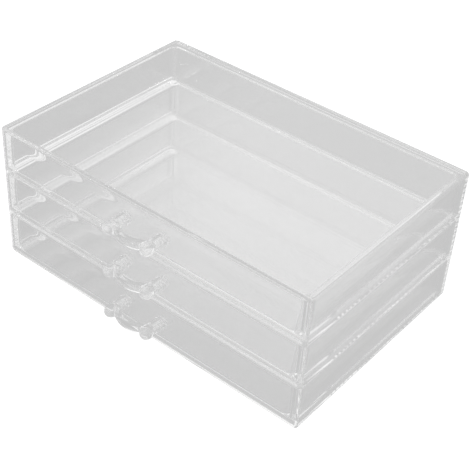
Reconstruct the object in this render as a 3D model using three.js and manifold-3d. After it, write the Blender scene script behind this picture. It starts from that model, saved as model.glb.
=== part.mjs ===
// Clear plastic makeup organizer: a low case with three wide drawers, each with a moulded bow handle.
// Millimetres, +Z up. The origin is at the centre of the case's bottom face. The drawers open towards -Y.

import * as THREE from 'three';
import { mergeVertices } from 'three/addons/utils/BufferGeometryUtils.js';
import Module from 'manifold-3d';

const wasm = await Module();
wasm.setup();

// Case
const caseWidth = 240;
const caseDepth = 161;
const caseHeight = 98;
const caseWall = 2.5;
const caseFootRadius = 3;
const caseTopRadius = 1.5;
const caseBackRadius = 2;
const caseFrontRadius = 0.8;
const bayCornerRadius = 1.2;
const drawerNames = ['bottom', 'middle', 'top'];

// Drawers
const drawerWall = 2.2;
const drawerFloor = 2;
const drawerSideGap = 0.5;
const drawerRunGap = 0.3;
const drawerHeadGap = 0.7;
const drawerBackGap = 1.8;
const drawerFrontRadius = 1;
const drawerBackRadius = 7;
const drawerFootRadius = 1.5;
const drawerRimRadius = 0.5;
const cavityCornerRadius = 4.5;
const cavityFloorRadius = 4;
const cavityCoveRadius = 1.6;
const rimLip = 0.8;
const rimHeight = 4.5;

// Handles
const postSpacing = 30.4;
const postRadius = 4.1;
const collarRadius = 4.9;
const collarLength = 1.4;
const neckRadius = 3.5;
const neckCentre = 9.2;
const neckLength = 2.4;
const knobRadius = 4.4;
const knobCentre = 13.6;
const handleReach = 18;
const bowHeight = 3.6;
const bowMiddleReach = 15.6;
const bowEndReach = 13.2;
const bowThickness = 3.2;
const archWidth = 20;
const archStart = 1.6;

// Screws that hold the handles from inside the drawer
const screwCoreRadius = 1.7;
const screwRidgeRadius = 2.1;
const screwRidgePitch = 1.6;
const screwRidgeCount = 4;
const screwHeadRadius = 3.6;
const screwHeadHeight = 1.4;
const screwSlotWidth = 0.9;
const screwSlotDepth = 0.6;
const screwGap = 0.3;
const seatGap = 0.3;

// Cuts run past the faces that they open by this much
const overrun = 1;

// Steps in a quarter circle and in a full turn
const filletSteps = 3;
const turnSteps = 16;
const archSteps = 12;
const domeSteps = 5;

// Sizes that follow from the ones above
const bayCount = drawerNames.length;
const bayPitch = (caseHeight - caseWall) / bayCount;
const bayHeight = bayPitch - caseWall;
const frontFace = -caseDepth / 2;
const bayBack = caseDepth / 2 - caseWall;
const drawerHalfWidth = caseWidth / 2 - caseWall - drawerSideGap;
const drawerBack = bayBack - drawerBackGap;
const drawerHeight = bayHeight - drawerRunGap - drawerHeadGap;
const postBoreRadius = screwRidgeRadius + screwGap;
const postBoreDepth = screwRidgeCount * screwRidgePitch + screwGap * 2;

const material = (name, color, roughness) => new THREE.MeshStandardMaterial({
  name, color, roughness, metalness: 0, transparent: true, opacity: 0.45,
});

// A closed outline with a radius of its own at each corner, counter-clockwise from low left
function roundedOutline([left, right], [low, high], [lowLeft, lowRight, highRight, highLeft]) {
  const quarter = Math.PI / 2;
  const shape = new THREE.Shape();
  shape.absarc(left + lowLeft, low + lowLeft, lowLeft, 2 * quarter, 3 * quarter);
  shape.absarc(right - lowRight, low + lowRight, lowRight, 3 * quarter, 4 * quarter);
  shape.absarc(right - highRight, high - highRight, highRight, 0, quarter);
  shape.absarc(left + highLeft, high - highLeft, highLeft, quarter, 2 * quarter);
  return shape;
}

// A prism of an outline, from start to end along one axis.
// The outline is drawn in Y and Z for a prism along X, in X and Z along Y, and in X and Y along Z.
const prismAxes = {
  x: [new THREE.Vector3(0, 1, 0), new THREE.Vector3(0, 0, 1), new THREE.Vector3(1, 0, 0)],
  y: [new THREE.Vector3(1, 0, 0), new THREE.Vector3(0, 0, 1), new THREE.Vector3(0, -1, 0)],
  z: [new THREE.Vector3(1, 0, 0), new THREE.Vector3(0, 1, 0), new THREE.Vector3(0, 0, 1)],
};

function prism(outline, axis, start, end) {
  const options = { depth: end - start, bevelEnabled: false, curveSegments: filletSteps };
  const geometry = new THREE.ExtrudeGeometry(outline, options);
  const [across, up, along] = prismAxes[axis];
  const origin = along.clone().multiplyScalar(axis === 'y' ? -end : start);
  geometry.applyMatrix4(new THREE.Matrix4().makeBasis(across, up, along).setPosition(origin));
  return toSolid(geometry);
}

// A box with rounded edges, as the common part of three prisms.
// The radii are those of the front view (X, Z), the plan (X, Y) and the side view (Y, Z).
function roundedBlock(spanX, spanY, spanZ, { front, plan, side }) {
  return prism(roundedOutline(spanX, spanZ, front), 'y', ...spanY)
    .intersect(prism(roundedOutline(spanX, spanY, plan), 'z', ...spanZ))
    .intersect(prism(roundedOutline(spanY, spanZ, side), 'x', ...spanX));
}

function toSolid(geometry) {
  geometry.deleteAttribute('normal');
  geometry.deleteAttribute('uv');
  const merged = mergeVertices(geometry);
  return new wasm.Manifold(new wasm.Mesh({
    numProp: 3,
    vertProperties: new Float32Array(merged.attributes.position.array),
    triVerts: new Uint32Array(merged.index.array),
  }));
}

function toMesh(solid, name, meshMaterial) {
  const { vertProperties, triVerts } = solid.getMesh();
  const geometry = new THREE.BufferGeometry();
  geometry.setAttribute('position', new THREE.BufferAttribute(new Float32Array(vertProperties), 3));
  geometry.setIndex(new THREE.BufferAttribute(new Uint32Array(triVerts), 1));
  geometry.computeVertexNormals();
  const mesh = new THREE.Mesh(geometry, meshMaterial);
  mesh.name = name;
  return mesh;
}

// A turned solid about the Y axis. Its profile is [radius, distance out from the drawer's front] pairs.
function turned(profile, x, z) {
  const points = profile.map(([radius, reach]) => new THREE.Vector2(radius, reach));
  const geometry = new THREE.LatheGeometry(points, turnSteps);
  geometry.rotateZ(Math.PI);
  geometry.translate(x, frontFace, z);
  return toSolid(geometry);
}

function bayFloor(level) {
  return caseWall + level * bayPitch;
}

function handleLevel(level) {
  return bayFloor(level) + bayHeight / 2;
}

function makeCase() {
  const halfWidth = caseWidth / 2;
  let shell = roundedBlock([-halfWidth, halfWidth], [frontFace, caseDepth / 2], [0, caseHeight], {
    front: [caseFootRadius, caseFootRadius, caseTopRadius, caseTopRadius],
    plan: [caseFrontRadius, caseFrontRadius, caseBackRadius, caseBackRadius],
    side: [caseFrontRadius, caseFootRadius, caseBackRadius, caseFrontRadius],
  });
  const bayHalfWidth = halfWidth - caseWall;
  for (let level = 0; level < bayCount; level += 1) {
    const spanZ = [bayFloor(level), bayFloor(level) + bayHeight];
    const opening = roundedOutline([-bayHalfWidth, bayHalfWidth], spanZ, Array(4).fill(bayCornerRadius));
    shell = shell.subtract(prism(opening, 'y', frontFace - overrun, bayBack));
  }
  return toMesh(shell, 'case', material('clear case', '#e9edef', 0.08));
}

function makeDrawer(level) {
  const low = bayFloor(level) + drawerRunGap;
  const high = low + drawerHeight;
  const body = roundedBlock([-drawerHalfWidth, drawerHalfWidth], [frontFace, drawerBack], [low, high], {
    front: [drawerFootRadius, drawerFootRadius, drawerRimRadius, drawerRimRadius],
    plan: [drawerFrontRadius, drawerFrontRadius, drawerBackRadius, drawerBackRadius],
    side: [drawerFrontRadius, drawerFootRadius, drawerRimRadius, drawerRimRadius],
  });

  const innerX = [-drawerHalfWidth + drawerWall, drawerHalfWidth - drawerWall];
  const innerY = [frontFace + drawerWall, drawerBack - drawerWall];
  const rimStart = high - rimHeight;
  const cavity = roundedBlock(innerX, innerY, [low + drawerFloor, rimStart + cavityCoveRadius], {
    front: [cavityFloorRadius, cavityFloorRadius, cavityCoveRadius, cavityCoveRadius],
    plan: Array(4).fill(cavityCornerRadius),
    side: [cavityFloorRadius, cavityFloorRadius, cavityCoveRadius, cavityCoveRadius],
  });
  const mouth = roundedOutline(
    [innerX[0] + rimLip, innerX[1] - rimLip],
    [innerY[0] + rimLip, innerY[1] - rimLip],
    Array(4).fill(cavityCornerRadius - rimLip),
  );
  let drawer = body.subtract(cavity).subtract(prism(mouth, 'z', rimStart, high + overrun));

  for (const side of [-1, 1]) {
    const hole = [
      [0, -drawerWall - overrun],
      [screwCoreRadius + screwGap, -drawerWall - overrun],
      [screwCoreRadius + screwGap, overrun],
      [0, overrun],
    ];
    drawer = drawer.subtract(turned(hole, side * postSpacing / 2, handleLevel(level)));
  }
  return toMesh(drawer, `drawer_${drawerNames[level]}`, material('clear drawer', '#eef1f2', 0.06));
}

// One post with its collar, neck, round knob and the blind bore that the screw bites into
function postProfile() {
  const neckHalf = neckLength / 2;
  const collarChamfer = collarRadius - postRadius;
  const profile = [
    [0, seatGap + postBoreDepth],
    [postBoreRadius, seatGap + postBoreDepth],
    [postBoreRadius, seatGap],
    [collarRadius, seatGap],
    [collarRadius, collarLength],
    [postRadius, collarLength + collarChamfer],
    [postRadius, neckCentre - neckHalf],
    [neckRadius, neckCentre],
  ];
  const domeLength = handleReach - knobCentre;
  const startAngle = -Math.acos(neckRadius / knobRadius);
  for (let step = 0; step <= domeSteps; step += 1) {
    const angle = startAngle + (Math.PI / 2 - startAngle) * step / domeSteps;
    const length = angle < 0 ? (knobCentre - neckCentre - neckHalf) / -Math.sin(startAngle) : domeLength;
    const radius = step === domeSteps ? 0 : knobRadius * Math.cos(angle);
    profile.push([radius, knobCentre + length * Math.sin(angle)]);
  }
  return profile;
}

// The bow between the posts: its front bulges out, and its inner edge is an arch for the fingers
function bowOutline() {
  const half = postSpacing / 2;
  const bulge = bowMiddleReach - bowEndReach;
  const bowRadius = (half * half + bulge * bulge) / (2 * bulge);
  const out = (reach) => frontFace - reach;
  const shape = new THREE.Shape();
  shape.moveTo(-half, out(archStart));
  for (let step = 0; step <= archSteps; step += 1) {
    const x = -half + 2 * half * step / archSteps;
    const sag = bowRadius - Math.sqrt(bowRadius * bowRadius - x * x);
    shape.lineTo(x, out(bowMiddleReach - sag));
  }
  shape.lineTo(half, out(archStart));
  const archHeight = bowMiddleReach - bowThickness - archStart;
  for (let step = 0; step <= archSteps; step += 1) {
    const angle = Math.PI * step / archSteps;
    shape.lineTo(archWidth / 2 * Math.cos(angle), out(archStart + archHeight * Math.sin(angle)));
  }
  return shape;
}

function makeHandle(level) {
  const z = handleLevel(level);
  let handle = prism(bowOutline(), 'z', z - bowHeight / 2, z + bowHeight / 2);
  const half = postSpacing / 2;
  const bore = [
    [0, 0],
    [postBoreRadius, 0],
    [postBoreRadius, seatGap + postBoreDepth],
    [0, seatGap + postBoreDepth],
  ];
  for (const side of [-1, 1]) {
    handle = handle.add(turned(postProfile(), side * half, z));
  }
  for (const side of [-1, 1]) {
    handle = handle.subtract(turned(bore, side * half, z));
  }
  return toMesh(handle, `handle_${drawerNames[level]}`, material('clear handle', '#f4f6f7', 0.04));
}

// Its head lies inside the drawer, and its ridged shank stands in the handle's post
function makeScrew(level, side) {
  const headSeat = -drawerWall - seatGap;
  const profile = [
    [0, headSeat - screwHeadHeight],
    [screwHeadRadius, headSeat - screwHeadHeight],
    [screwHeadRadius, headSeat],
    [screwCoreRadius, headSeat],
    [screwCoreRadius, seatGap],
  ];
  for (let ridge = 0; ridge < screwRidgeCount; ridge += 1) {
    const start = seatGap + ridge * screwRidgePitch;
    profile.push([screwRidgeRadius, start + screwRidgePitch / 2]);
    profile.push([screwCoreRadius, start + screwRidgePitch]);
  }
  profile.push([0, seatGap + screwRidgeCount * screwRidgePitch]);

  const x = (side === 'left' ? -1 : 1) * postSpacing / 2;
  const z = handleLevel(level);
  const headFace = frontFace - headSeat + screwHeadHeight;
  const slot = prism(
    roundedOutline(
      [x - screwHeadRadius - overrun, x + screwHeadRadius + overrun],
      [z - screwSlotWidth / 2, z + screwSlotWidth / 2],
      Array(4).fill(screwSlotWidth / 4),
    ),
    'y',
    headFace - screwSlotDepth,
    headFace + overrun,
  );
  const screw = turned(profile, x, z).subtract(slot);
  const name = `handle_screw_${drawerNames[level]}_${side}`;
  return toMesh(screw, name, material('clear screw', '#e4e8ea', 0.1));
}

const organizer = new THREE.Group();
organizer.add(makeCase());
for (let level = 0; level < bayCount; level += 1) {
  const drawer = new THREE.Group();
  drawer.add(makeDrawer(level));
  drawer.add(makeHandle(level));
  for (const side of ['left', 'right']) {
    drawer.add(makeScrew(level, side));
  }
  organizer.add(drawer);
}

export default organizer;
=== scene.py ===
import math

import bmesh
import bpy
import numpy as np
from mathutils import Matrix, Vector
from mathutils.geometry import tessellate_polygon


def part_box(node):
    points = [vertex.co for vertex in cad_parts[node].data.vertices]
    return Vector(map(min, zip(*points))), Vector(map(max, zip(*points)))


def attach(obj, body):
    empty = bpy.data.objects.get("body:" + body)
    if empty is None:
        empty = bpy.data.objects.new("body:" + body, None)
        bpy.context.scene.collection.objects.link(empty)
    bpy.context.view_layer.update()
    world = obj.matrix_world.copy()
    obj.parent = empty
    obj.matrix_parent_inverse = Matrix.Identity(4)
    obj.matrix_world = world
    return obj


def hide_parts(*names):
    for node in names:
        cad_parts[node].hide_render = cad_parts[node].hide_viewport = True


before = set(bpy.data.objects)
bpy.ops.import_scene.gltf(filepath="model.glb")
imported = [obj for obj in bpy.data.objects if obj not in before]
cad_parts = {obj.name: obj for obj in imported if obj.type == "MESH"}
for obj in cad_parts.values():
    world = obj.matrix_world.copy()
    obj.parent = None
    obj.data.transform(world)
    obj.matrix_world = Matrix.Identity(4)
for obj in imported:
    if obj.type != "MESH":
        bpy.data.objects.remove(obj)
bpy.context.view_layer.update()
print("frame loaded")

# Lengths below are in metres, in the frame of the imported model.
levels = ["bottom", "middle", "top"]
sides = {"left": -1, "right": 1}
tiny = 1e-9  # keeps a divisor above zero


# Mesh helpers

def roundedLoop(low, high, radii, steps):
    # A rounded rectangle, counter-clockwise from its low left corner, as an array of 2D points.
    # Each corner is a quarter circle: centre + radius * (cos, sin), with the radii in the order
    # low left, low right, high right, high left.
    (x0, y0), (x1, y1) = low, high
    turns = np.linspace(0, math.pi / 2, steps + 1)
    points = []
    for k, (cornerX, cornerY) in enumerate([(x0, y0), (x1, y0), (x1, y1), (x0, y1)]):
        r = radii[k]
        centreX = cornerX + (r if cornerX == x0 else -r)
        centreY = cornerY + (r if cornerY == y0 else -r)
        angle = turns + math.pi + k * math.pi / 2
        points.append(np.stack([centreX + r * np.cos(angle), centreY + r * np.sin(angle)], 1))
    return np.concatenate(points)


def gridFaces(rows, columns, offset=0):
    # Quads between neighbouring closed loops of a grid of rows x columns points.
    i, j = np.meshgrid(np.arange(rows - 1), np.arange(columns), indexing="ij")
    here, above = i * columns, (i + 1) * columns
    k = (j + 1) % columns
    quads = np.stack([here + j, here + k, above + k, above + j], -1)
    return (quads.reshape(-1, 4) + offset).tolist()


def makePiece(name, points, faces, material):
    mesh = bpy.data.meshes.new(name)
    mesh.from_pydata(np.asarray(points).reshape(-1, 3).tolist(), [], faces)
    mesh.polygons.foreach_set("use_smooth", np.ones(len(mesh.polygons), bool))
    mesh.materials.append(material)
    mesh.update()
    piece = bpy.data.objects.new(name, mesh)
    bpy.context.scene.collection.objects.link(piece)
    return piece


def keepFlat(piece):
    # Large faces keep their own normal, and the narrow faces of an edge blend between them.
    weighted = piece.modifiers.new("flat faces stay flat", "WEIGHTED_NORMAL")
    weighted.mode = "FACE_AREA"
    weighted.weight = 100  # the strongest setting


def quarter(radius, steps):
    # (inward, along) offsets of a convex edge of that radius, from the flat cap out to the wall:
    # radius * (1 - sin t, 1 - cos t).
    t = np.linspace(0, math.pi / 2, steps + 1)
    return np.stack([radius * (1 - np.sin(t)), radius * (1 - np.cos(t))], 1)


def turnOutwards(piece):
    work = bmesh.new()
    work.from_mesh(piece.data)
    bmesh.ops.recalc_face_normals(work, faces=work.faces)
    work.to_mesh(piece.data)
    work.free()


def handleMiddle(level):
    # The middle of a handle's seat on the drawer front.
    low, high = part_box("handle_" + level)
    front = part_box("drawer_" + level)[0].y
    return Vector(((low.x + high.x) / 2, front, (low.z + high.z) / 2))


# Materials

plasticLook = {
    "ior": 1.49,
    "roughness": 0.0,
    "tint": (1.0, 1.0, 1.0),
    "rippleScale": 9.0,
    "rippleHeight": 0.00002,
}


def rippleGroup():
    # Height of the slow waviness that moulded plastic keeps: noise of the piece's own coordinates.
    group = bpy.data.node_groups.new("moulded ripple", "ShaderNodeTree")
    group.interface.new_socket("Scale", in_out="INPUT", socket_type="NodeSocketFloat")
    group.interface.new_socket("Height", in_out="OUTPUT", socket_type="NodeSocketFloat")
    inputs = group.nodes.new("NodeGroupInput")
    outputs = group.nodes.new("NodeGroupOutput")
    coordinates = group.nodes.new("ShaderNodeTexCoord")
    noise = group.nodes.new("ShaderNodeTexNoise")
    noise.inputs["Detail"].default_value = 1.0
    group.links.new(coordinates.outputs["Object"], noise.inputs["Vector"])
    group.links.new(inputs.outputs["Scale"], noise.inputs["Scale"])
    group.links.new(noise.outputs["Fac"], outputs.inputs["Height"])
    return group


ripple = rippleGroup()


def clearPlastic(name, look):
    # Clear moulded plastic: a transmitting Principled shader with a slow ripple.
    material = bpy.data.materials.new(name)
    material.use_nodes = True
    nodes, links = material.node_tree.nodes, material.node_tree.links
    shader = nodes["Principled BSDF"]
    shader.inputs["Base Color"].default_value = (*look["tint"], 1)
    shader.inputs["Roughness"].default_value = look["roughness"]
    shader.inputs["IOR"].default_value = look["ior"]
    shader.inputs["Transmission Weight"].default_value = 1.0
    waves = nodes.new("ShaderNodeGroup")
    waves.node_tree = ripple
    waves.inputs["Scale"].default_value = look["rippleScale"]
    bump = nodes.new("ShaderNodeBump")
    bump.inputs["Strength"].default_value = 1.0
    bump.inputs["Distance"].default_value = look["rippleHeight"]
    links.new(waves.outputs["Height"], bump.inputs["Height"])
    links.new(bump.outputs["Normal"], shader.inputs["Normal"])
    return material


casePlastic = clearPlastic("clear case plastic", plasticLook)
drawerPlastic = clearPlastic("clear drawer plastic", plasticLook)
handlePlastic = clearPlastic("clear handle plastic", plasticLook)
screwPlastic = clearPlastic("clear screw plastic", plasticLook)


# Case: outer skin, front face with three openings, and the three bays

caseForm = {
    "wall": 0.0025,
    "footRadius": 0.003,
    "topRadius": 0.0025,
    "backRadius": 0.001,
    "lipRadius": 0.0009,
    "bayCornerRadius": 0.0022,
    "bayBackRadius": 0.0015,
    "leastRadius": 0.0002,  # of a corner that is drawn in further than its radius
    "cornerSteps": 8,
    "edgeSteps": 5,
}


def makeCase(form):
    # The outside is a stack of rounded rectangles in X and Z, drawn in at the back edge and at the
    # front lip. Each bay is a stack of the same kind, from its own lip to a rounded back.
    low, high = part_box("case")
    wall, steps = form["wall"], form["edgeSteps"]
    front, back = low.y, high.y

    def stack(x0, x1, z0, z1, radii, offsets):
        # One loop for each (inset, y): the rectangle drawn in by inset, its corners by as much.
        loops = []
        for inset, y in offsets:
            corners = [max(r - inset, form["leastRadius"]) for r in radii]
            loop = roundedLoop((x0 + inset, z0 + inset), (x1 - inset, z1 - inset), corners,
                               form["cornerSteps"])
            loops.append(np.stack([loop[:, 0], np.full(len(loop), y), loop[:, 1]], 1))
        return np.array(loops)

    lip = quarter(form["lipRadius"], steps)
    backEdge = [(inset, back - along) for inset, along in quarter(form["backRadius"], steps)]
    frontLip = [(inset, front + along) for inset, along in lip[::-1]]
    outer = stack(low.x, high.x, low.z, high.z,
                  [form["footRadius"]] * 2 + [form["topRadius"]] * 2, backEdge + frontLip)
    columns = outer.shape[1]
    points = [outer.reshape(-1, 3)]
    faces = gridFaces(len(outer), columns)
    faces.append(list(range(columns))[::-1])

    pitch = (high.z - wall) / len(levels)
    bayLip = [(-inset, front + along) for inset, along in lip]
    backFillet = quarter(form["bayBackRadius"], steps)[::-1]
    bayBack = [(inset, back - wall - along) for inset, along in backFillet]
    loops = [outer[-1]]
    starts = [(len(outer) - 1) * columns]
    count = len(outer) * columns
    for level in range(len(levels)):
        z0 = wall + level * pitch
        bay = stack(low.x + wall, high.x - wall, z0, z0 + pitch - wall,
                    [form["bayCornerRadius"]] * 4, bayLip + bayBack)
        points.append(bay.reshape(-1, 3))
        faces += gridFaces(len(bay), columns, count)
        faces.append([count + (len(bay) - 1) * columns + j for j in range(columns)][::-1])
        loops.append(bay[0])
        starts.append(count)
        count += len(bay) * columns

    # The flat front, between the outer loop and the three openings
    flat = [[Vector((p[0], p[2], 0)) for p in loop] for loop in loops]
    index = np.concatenate([start + np.arange(columns) for start in starts])
    for triangle in tessellate_polygon(flat):
        faces.append([int(index[k]) for k in triangle])
    piece = makePiece("case_body", np.concatenate(points), faces, casePlastic)
    turnOutwards(piece)
    keepFlat(piece)
    return piece


caseBody = makeCase(caseForm)
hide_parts("case")
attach(caseBody, "case")
print("case made")


# Drawers: open trays with rounded outer edges, a ramp along the floor's sides and a thicker rim

drawerForm = {
    "wall": 0.0022,
    "floor": 0.002,
    "frontRadius": 0.001,
    "backRadius": 0.007,
    "foot": {"front": 0.004, "side": 0.0012, "back": 0.003},
    "fillet": {  # reach, rise and power of the inside edge of the floor; a power of 1 is a ramp
        "front": (0.001, 0.001, 2.0),
        "side": (0.0078, 0.0034, 1.0),
        "back": (0.001, 0.001, 2.0),
    },
    "rimRadius": 0.0006,
    "cavityCorner": 0.0045,
    "rimLip": 0.0005,
    "rimHeight": 0.0025,
    "coveHeight": 0.007,
    "leastOuterRadius": 0.0002,
    "leastInnerRadius": 0.0003,
    "cornerSteps": 10,
    "edgeSteps": 8,
    "coveSteps": 12,
    "holeSpacing": 0.0294,
    "holeRadius": 0.0020,
    "holeSteps": 40,
    "holeOverrun": 0.001,
}

drawerWalls = ["front", "side", "back"]


def superInset(heights, reach, rise, power):
    # How far a rounded edge stands in at each height:
    # (1 - inset / reach) ^ power + (1 - height / rise) ^ power = 1.
    up = np.clip(1 - heights / rise, 0, 1) ** power
    return reach * (1 - (1 - up) ** (1 / power))


def easedHeights(rises, steps):
    # Heights from 0 to each of the rises, closer together near both ends, in one sorted list.
    # They are rounded to a micrometre, so that equal ones merge.
    ease = (1 - np.cos(np.linspace(0, math.pi, 2 * steps + 1))) / 2
    return np.unique(np.round(np.concatenate([rise * ease for rise in rises]), 6))


def cutHoles(piece, level, form):
    # Two round holes through the front, for the handle's screws.
    place = handleMiddle(level)
    angle = np.linspace(0, 2 * math.pi, form["holeSteps"], endpoint=False)
    points, faces = [], []
    for sign in sides.values():
        offset = len(points) * form["holeSteps"]
        middle = place.x + sign * form["holeSpacing"] / 2
        for y in (place.y - form["holeOverrun"], place.y + form["wall"] + form["holeOverrun"]):
            points.append(np.column_stack([
                middle + form["holeRadius"] * np.cos(angle),
                np.full(len(angle), y),
                place.z + form["holeRadius"] * np.sin(angle),
            ]))
        faces += gridFaces(2, form["holeSteps"], offset)
        faces.append([offset + k for k in range(form["holeSteps"])][::-1])
        faces.append([offset + form["holeSteps"] + k for k in range(form["holeSteps"])])
    cutter = makePiece("hole cutter", np.concatenate(points), faces, drawerPlastic)
    turnOutwards(cutter)
    cut = piece.modifiers.new("screw holes", "BOOLEAN")
    cut.operation = "DIFFERENCE"
    cut.solver = "EXACT"
    cut.object = cutter
    solid = piece.evaluated_get(bpy.context.evaluated_depsgraph_get())
    mesh = bpy.data.meshes.new_from_object(solid)
    piece.modifiers.clear()
    piece.data = mesh
    mesh.polygons.foreach_set("use_smooth", np.ones(len(mesh.polygons), bool))
    bpy.data.objects.remove(cutter)


def makeDrawer(level, form):
    # A stack of plan outlines: up the outside, over the rim, down the lip and the inside to the
    # floor. Each is a rounded rectangle with its own inset at the front, the sides and the back.
    low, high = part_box("drawer_" + level)
    wall, lip, steps = form["wall"], form["rimLip"], form["edgeSteps"]

    def outline(insets, z, radius, least):
        front, side, back = insets
        ends = (front, front, back, back)
        radii = [max(r - max(side, end), least) for r, end in zip(radius, ends)]
        plan = roundedLoop((low.x + side, low.y + front), (high.x - side, high.y - back), radii,
                           form["cornerSteps"])
        return np.column_stack([plan, np.full(len(plan), z)])

    def outerLoop(insets, z):
        radii = [form["frontRadius"]] * 2 + [form["backRadius"]] * 2
        return outline(insets, z, radii, form["leastOuterRadius"])

    def innerLoop(insets, z):
        radii = [form["cavityCorner"] + wall] * 4
        return outline(np.add(insets, wall), z, radii, form["leastInnerRadius"])

    # Outside, from the foot to the rim
    heights = easedHeights(form["foot"].values(), steps)
    foot = np.array([superInset(heights, form["foot"][k], form["foot"][k], 2) for k in drawerWalls])
    rows = [outerLoop(inset, low.z + height) for inset, height in zip(foot.T, heights)]
    rimEdge = quarter(form["rimRadius"], steps)
    rows += [outerLoop([inset] * 3, high.z - along) for inset, along in rimEdge[::-1]]

    # Inside, from the rim over the lip's cove (3 b^2 - 2 b^3) to the floor
    rows += [innerLoop([lip - inset] * 3, high.z - along) for inset, along in rimEdge]
    blend = np.linspace(0, 1, form["coveSteps"] + 1)
    ease = blend * blend * (3 - 2 * blend)
    rimLow = high.z - form["rimHeight"]
    rows += [innerLoop([lip * (1 - e)] * 3, rimLow - form["coveHeight"] * b)
             for b, e in zip(blend, ease)]
    heights = easedHeights([rise for reach, rise, power in form["fillet"].values()], steps)
    fillet = np.array([superInset(heights, *form["fillet"][k]) for k in drawerWalls])
    rows += [innerLoop(inset, low.z + form["floor"] + height)
             for inset, height in zip(fillet.T[::-1], heights[::-1])]

    rows = np.array(rows)
    columns = rows.shape[1]
    faces = gridFaces(len(rows), columns)
    faces.append(list(range(columns))[::-1])
    faces.append([(len(rows) - 1) * columns + j for j in range(columns)])
    piece = makePiece("drawer_tray_" + level, rows, faces, drawerPlastic)
    turnOutwards(piece)
    cutHoles(piece, level, form)
    keepFlat(piece)
    return piece


for level in levels:
    tray = makeDrawer(level, drawerForm)
    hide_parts("drawer_" + level)
    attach(tray, level + "_drawer")
print("drawers made")


# Handles and their screws: smooth solids from distance fields

def smoothMin(a, b, width):
    # The smaller of two distances, with a blend of that width where they meet.
    h = np.clip(0.5 + 0.5 * (b - a) / width, 0, 1)
    return b + (a - b) * h - width * h * (1 - h)


def cutAway(a, b, width):
    # The distance to solid a with solid b taken out of it.
    return -smoothMin(-a, b, width)


def roundedRange(across, along, rounding):
    # Distance to the part where both distances are negative, with its outer edge rounded.
    u, v = across + rounding, along + rounding
    outside = np.hypot(np.maximum(u, 0), np.maximum(v, 0))
    return outside + np.minimum(np.maximum(u, v), 0) - rounding


def rod(radial, reach, radius, start, finish, rounding):
    # Distance to a round rod along the reach, from start to finish, with rounded ends.
    middle, half = (start + finish) / 2, (finish - start) / 2
    return roundedRange(radial - radius, np.abs(reach - middle) - half, rounding)


def surfaceNet(field, form):
    # One vertex in each grid cell that the zero surface crosses, and a quad round each grid edge
    # that it crosses. The vertices are then drawn onto the surface a few times:
    # p - field(p) * gradient / |gradient|^2.
    step = form["gridStep"]
    axes = [np.arange(a, b + step, step) for a, b in zip(form["gridLow"], form["gridHigh"])]
    grid = np.stack(np.meshgrid(*axes, indexing="ij"), -1)
    inside = field(grid) < 0
    x, y, z = np.array(inside.shape) - 1
    corners = np.stack([inside[i:x + i, j:y + j, k:z + k]
                        for i in (0, 1) for j in (0, 1) for k in (0, 1)], -1)
    crossed = corners.any(-1) & ~corners.all(-1)
    index = np.full(crossed.shape, -1)
    index[crossed] = np.arange(crossed.sum())
    points = grid[:-1, :-1, :-1][crossed] + step / 2
    pulls, small = 4, step / 50
    for pull in range(pulls):
        value = field(points)
        slope = np.stack([(field(points + small * e) - field(points - small * e)) / (2 * small)
                          for e in np.eye(3)], -1)
        shift = slope * (value / np.maximum((slope * slope).sum(-1), tiny))[:, None]
        points = points - np.clip(shift, -step, step)
    quads = []
    for axis in range(3):
        one, two = (axis + 1) % 3, (axis + 2) % 3
        solid = np.moveaxis(inside, (axis, one, two), (0, 1, 2))
        cells = np.moveaxis(index, (axis, one, two), (0, 1, 2))
        a, b = solid[:-1, 1:-1, 1:-1], solid[1:, 1:-1, 1:-1]
        ring = np.stack([cells[:, :-1, :-1], cells[:, 1:, :-1], cells[:, 1:, 1:],
                         cells[:, :-1, 1:]], -1)
        quads += [ring[a & ~b], ring[b & ~a][:, ::-1]]
    return points, np.concatenate(quads)


handleForm = {
    "half": 0.0147,  # from the middle to the axis of a post
    "seat": 0.0003,
    "postRadius": 0.0040,
    "postEnd": 0.0082,
    "postEdge": 0.0012,
    "collarRadius": 0.0045,
    "collarEnd": 0.0011,
    "collarEdge": 0.0005,
    "neckRadius": 0.0033,
    "neckEnd": 0.0104,
    "knobCentre": 0.0122,
    "knobRadius": 0.0042,
    "knobLength": 0.0044,
    "knobBlend": 0.0005,
    "bowMiddle": 0.0159,
    "bowEnd": 0.0092,
    "bowThickness": 0.0033,
    "bowHeight": 0.0066,
    "bowEdge": 0.0010,
    "bowBlend": 0.0015,
    "boreRadius": 0.0024,
    "boreEnd": 0.0072,
    "boreEdge": 0.0003,
    "gridLow": (-0.0206, -0.0184, -0.0054),
    "gridHigh": (0.0206, 0.0002, 0.0054),
    "gridStep": 0.00026,
}

screwForm = {
    "coreRadius": 0.0017,
    "ridgeHeight": 0.0004,
    "ridgePitch": 0.0016,
    "ridgeStart": 0.0006,
    "ridgeSharpness": 1.5,
    "shankEnd": 0.0066,
    "shankEdge": 0.0004,
    "headRadius": 0.0036,
    "headHeight": 0.0014,
    "headGap": 0.0003,
    "headEdge": 0.0005,
    "slotWidth": 0.0009,
    "slotDepth": 0.0006,
    "gridLow": (-0.0040, -0.0070, -0.0040),
    "gridHigh": (0.0040, 0.0046, 0.0040),
    "gridStep": 0.0002,
}


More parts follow.
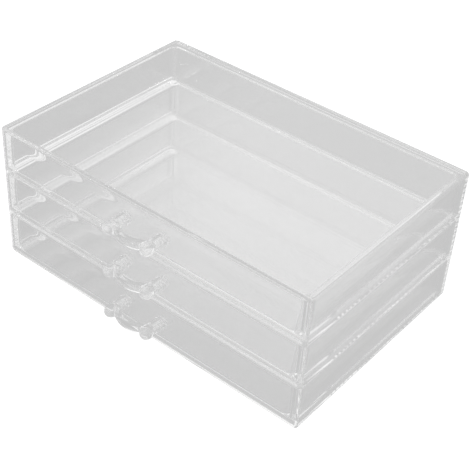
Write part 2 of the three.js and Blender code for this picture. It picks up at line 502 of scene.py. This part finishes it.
def handleField(form):
    # Distance field of one handle about its own middle: x is across, z is up, and the reach out
    # of the drawer front is -y. The knob is an ellipsoid, and the bow is part of a ring through
    # bowMiddle on the axis and bowEnd at the posts.
    def field(p):
        x, reach, z = p[..., 0], -p[..., 1], p[..., 2]
        radial = np.hypot(np.abs(x) - form["half"], z)
        post = rod(radial, reach, form["postRadius"], form["seat"], form["postEnd"],
                   form["postEdge"])
        collar = rod(radial, reach, form["collarRadius"], form["seat"], form["collarEnd"],
                     form["collarEdge"])
        neck = rod(radial, reach, form["neckRadius"], form["seat"], form["neckEnd"],
                   form["postEdge"])
        width, length = form["knobRadius"], form["knobLength"]
        out = reach - form["knobCentre"]
        scaled = np.hypot(radial / width, out / length)
        steepness = np.maximum(np.hypot(radial / width ** 2, out / length ** 2), tiny)
        knob = scaled * (scaled - 1) / steepness
        solid = smoothMin(smoothMin(post, collar, form["knobBlend"]), neck, form["knobBlend"])
        solid = smoothMin(solid, knob, form["knobBlend"])
        bulge = form["bowMiddle"] - form["bowEnd"]
        bowRadius = (form["half"] ** 2 + bulge ** 2) / (2 * bulge)
        fromCentre = np.hypot(x, reach - form["bowMiddle"] + bowRadius)
        half = form["bowThickness"] / 2
        plan = np.maximum(np.abs(fromCentre - (bowRadius - half)) - half,
                          np.abs(x) - form["half"])
        bow = roundedRange(plan, np.abs(z) - form["bowHeight"] / 2, form["bowEdge"])
        solid = smoothMin(solid, bow, form["bowBlend"])
        bore = rod(radial, reach, form["boreRadius"], -form["boreEnd"], form["boreEnd"],
                   form["boreEdge"])
        return cutAway(solid, bore, form["boreEdge"])
    return field


def screwField(form, panel):
    # Distance field of one screw about its axis at the drawer front: a threaded shank and a
    # slotted head behind the panel. The thread's ridge is (0.5 + 0.5 cos turn) ^ sharpness, and
    # it rises from nothing over its first half turn.
    def field(p):
        x, reach, z = p[..., 0], -p[..., 1], p[..., 2]
        radial = np.hypot(x, z)
        turn = np.arctan2(z, x) / (2 * math.pi) - reach / form["ridgePitch"]
        rise = np.clip((reach - form["ridgeStart"]) / form["ridgePitch"] * 2, 0, 1)
        wave = (0.5 + 0.5 * np.cos(2 * math.pi * turn)) ** form["ridgeSharpness"]
        ridge = form["ridgeHeight"] * rise * wave
        seat = -panel - form["headGap"]
        headEnd = seat - form["headHeight"]
        shank = rod(radial - ridge, reach, form["coreRadius"], seat - form["headHeight"] / 2,
                    form["shankEnd"], form["shankEdge"])
        head = rod(radial, reach, form["headRadius"], headEnd, seat, form["headEdge"])
        slot = np.maximum(np.abs(z) - form["slotWidth"] / 2, reach - (headEnd + form["slotDepth"]))
        return cutAway(smoothMin(shank, head, form["headEdge"]), slot, form["headEdge"] / 2)
    return field


handlePoints, handleFaces = surfaceNet(handleField(handleForm), handleForm)
print("handle solid found,", len(handleFaces), "faces")
screwPoints, screwFaces = surfaceNet(screwField(screwForm, drawerForm["wall"]), screwForm)
print("screw solid found,", len(screwFaces), "faces")

for level in levels:
    place = np.array(handleMiddle(level))
    handle = makePiece("handle_grip_" + level, handlePoints + place, handleFaces.tolist(),
                       handlePlastic)
    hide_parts("handle_" + level)
    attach(handle, level + "_drawer")
    for side, sign in sides.items():
        spot = place + np.array([sign * handleForm["half"], 0, 0])
        name = "handle_screw_" + level + "_" + side
        piece = "threaded_screw_" + level + "_" + side
        screw = makePiece(piece, screwPoints + spot, screwFaces.tolist(), screwPlastic)
        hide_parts(name)
        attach(screw, level + "_drawer")
print("handles and screws made")


# Floor, lights and camera

studio = {
    "floorColor": 0.8,
    # the floor's grey glow; in gloss and through the plastic it is painted shade of the ground in
    # the object's shadow
    "floorGlow": 0.56,
    "floorReach": 6.0,
    "floorDrop": 0.0002,
    "skyHigh": 0.98,
    "skyLow": 0.56,
    "skyAcross": (-0.68, -0.48),
    "skyUp": (0.0, 0.45),
    "skyLight": 0.15,
    "boxGlow": 0.3,
    "boxEdge": (0.87, 0.93),
    "keyStrength": 4.1,
    "keyAngle": 1.0,
    "keyAzimuth": 41.0,
    "keyElevation": 28.5,
}

cameraPlace = {
    "azimuth": 37.20,
    "elevation": 37.68,
    "roll": 3.83,
    "sensor": 36,  # millimetres
    "framePixels": 470,
    "focalPixels": 1106.3,
    "clip": (0.01, 100),
    "distance": 0.7061,
    "shiftX": -0.00356,
    "shiftY": 0.01496,
    "target": (0, 0, 0.05),
}

clearBounces = 256  # light crosses many faces of clear plastic before it gets out
diffuseBounces = 2


def aim(azimuth, elevation):
    # Unit vector from the object towards that azimuth and elevation: (sin a cos e, -cos a cos e,
    # sin e), so that azimuth 0 is in front of the drawers and 90 is on the right.
    a, e = math.radians(azimuth), math.radians(elevation)
    return Vector((math.sin(a) * math.cos(e), -math.cos(a) * math.cos(e), math.sin(e)))


def makeCamera(place):
    # It looks back along its aim, turned by the roll about it, and is moved sideways by the shift.
    a, roll = math.radians(place["azimuth"]), math.radians(place["roll"])
    back = aim(place["azimuth"], place["elevation"])
    level = Vector((math.cos(a), math.sin(a), 0))
    rise = back.cross(level)
    right = level * math.cos(roll) + rise * math.sin(roll)
    up = rise * math.cos(roll) - level * math.sin(roll)
    data = bpy.data.cameras.new("view")
    data.sensor_width = place["sensor"]
    data.lens = data.sensor_width * place["focalPixels"] / place["framePixels"]
    data.clip_start, data.clip_end = place["clip"]
    camera = bpy.data.objects.new("view", data)
    bpy.context.scene.collection.objects.link(camera)
    shift = right * place["shiftX"] + up * place["shiftY"]
    centre = Vector(place["target"]) - shift + back * place["distance"]
    turn = Matrix((right, up, back)).transposed().to_4x4()
    camera.matrix_world = Matrix.Translation(centre) @ turn
    bpy.context.scene.camera = camera


def mathNode(tree, operation, first, second):
    # A Math node whose inputs are numbers or other nodes' outputs.
    node = tree.nodes.new("ShaderNodeMath")
    node.operation = operation
    for socket, value in zip(node.inputs, (first, second)):
        if isinstance(value, (int, float)):
            socket.default_value = value
        else:
            tree.links.new(value, socket)
    return node.outputs[0]


def rayKinds(tree):
    # Two masks: the camera's own rays, and rays that come by gloss or through the plastic.
    path = tree.nodes.new("ShaderNodeLightPath")
    plastic = mathNode(tree, "MAXIMUM", path.outputs["Is Glossy Ray"],
                       path.outputs["Is Transmission Ray"])
    return path.outputs["Is Camera Ray"], plastic


def makeFloor(look):
    # A pale floor with an even grey glow, which shows to the camera, in gloss and through the
    # plastic; the lamp lifts it to white for the camera alone, outside the object's shadow.
    # In gloss and through the plastic the lamp's light is left out, so there the grey is painted
    # shade: it stands for the ground lying in the object's shadow.
    material = bpy.data.materials.new("pale floor")
    material.use_nodes = True
    tree = material.node_tree
    tree.nodes.remove(tree.nodes["Principled BSDF"])
    cameraRay, plasticRay = rayKinds(tree)
    seen = mathNode(tree, "MAXIMUM", cameraRay, plasticRay)
    diffuse = tree.nodes.new("ShaderNodeBsdfDiffuse")
    diffuse.inputs["Color"].default_value = (look["floorColor"],) * 3 + (1,)
    # Rays in gloss and through the plastic take this black diffuse instead of the lamp-lit one:
    # painted shade, so they see only the grey glow, as if the whole floor lay in the object's
    # shadow.
    dark = tree.nodes.new("ShaderNodeBsdfDiffuse")
    dark.inputs["Color"].default_value = (0, 0, 0, 1)
    lit = tree.nodes.new("ShaderNodeMixShader")
    tree.links.new(plasticRay, lit.inputs[0])
    tree.links.new(diffuse.outputs[0], lit.inputs[1])
    tree.links.new(dark.outputs[0], lit.inputs[2])
    glow = tree.nodes.new("ShaderNodeEmission")
    tree.links.new(mathNode(tree, "MULTIPLY", seen, look["floorGlow"]), glow.inputs["Strength"])
    both = tree.nodes.new("ShaderNodeAddShader")
    tree.links.new(lit.outputs[0], both.inputs[0])
    tree.links.new(glow.outputs[0], both.inputs[1])
    tree.links.new(both.outputs[0], tree.nodes["Material Output"].inputs["Surface"])
    mesh = bpy.data.meshes.new("floor")
    reach = look["floorReach"]
    corners = [(-reach, -reach), (reach, -reach), (reach, reach), (-reach, reach)]
    mesh.from_pydata([(x, y, -look["floorDrop"]) for x, y in corners], [], [(0, 1, 2, 3)])
    mesh.materials.append(material)
    floor = bpy.data.objects.new("floor", mesh)
    bpy.context.scene.collection.objects.link(floor)


def makeSky(look):
    # White to the camera. In gloss and through the plastic it is a broad soft light overhead,
    # which fades towards the horizon and towards the left: low + (high - low) * across * up.
    # It is a little brighter straight above, where only rounded edges and the handles mirror it.
    world = bpy.data.worlds.new("studio")
    bpy.context.scene.world = world
    world.use_nodes = True
    tree = world.node_tree
    background = tree.nodes["Background"]
    background.inputs["Color"].default_value = (1, 1, 1, 1)
    direction = tree.nodes.new("ShaderNodeTexCoord")
    parts = tree.nodes.new("ShaderNodeSeparateXYZ")
    tree.links.new(direction.outputs["Generated"], parts.inputs[0])

    def fade(part, ends):
        # 0 below the first end and 1 above the second, with a smooth step between them.
        node = tree.nodes.new("ShaderNodeMapRange")
        node.interpolation_type = "SMOOTHSTEP"
        node.inputs["From Min"].default_value, node.inputs["From Max"].default_value = ends
        tree.links.new(parts.outputs[part], node.inputs["Value"])
        return node.outputs["Result"]

    across, up = fade("X", look["skyAcross"]), fade("Z", look["skyUp"])
    bright = mathNode(tree, "MULTIPLY", across, up)
    bright = mathNode(tree, "MULTIPLY", bright, look["skyHigh"] - look["skyLow"])
    bright = mathNode(tree, "ADD", bright, look["skyLow"] - look["skyLight"])
    box = mathNode(tree, "MULTIPLY", fade("Z", look["boxEdge"]), look["boxGlow"])
    bright = mathNode(tree, "ADD", bright, box)
    cameraRay, plasticRay = rayKinds(tree)
    plastic = mathNode(tree, "MULTIPLY", bright, plasticRay)
    direct = mathNode(tree, "MULTIPLY", cameraRay, 1.0 - look["skyLight"])
    seen = mathNode(tree, "ADD", plastic, direct)
    tree.links.new(mathNode(tree, "ADD", seen, look["skyLight"]), background.inputs["Strength"])


def makeKey(look):
    # One distant lamp from the front right: the shadow falls behind the object, to the left.
    data = bpy.data.lights.new("key", "SUN")
    data.energy = look["keyStrength"]
    data.angle = math.radians(look["keyAngle"])
    key = bpy.data.objects.new("key", data)
    bpy.context.scene.collection.objects.link(key)
    key.visible_glossy = False  # a soft lamp leaves no hard glints along the edges
    towards = aim(look["keyAzimuth"], look["keyElevation"])
    key.rotation_euler = towards.to_track_quat("Z", "Y").to_euler()
    key.location = towards


makeCamera(cameraPlace)
makeFloor(studio)
makeSky(studio)
makeKey(studio)
print("stage made")

scene = bpy.context.scene
scene.view_settings.view_transform = "Standard"
scene.cycles.max_bounces = clearBounces
scene.cycles.transmission_bounces = clearBounces
scene.cycles.glossy_bounces = clearBounces
scene.cycles.diffuse_bounces = diffuseBounces
scene.cycles.caustics_refractive = False
scene.cycles.caustics_reflective = False
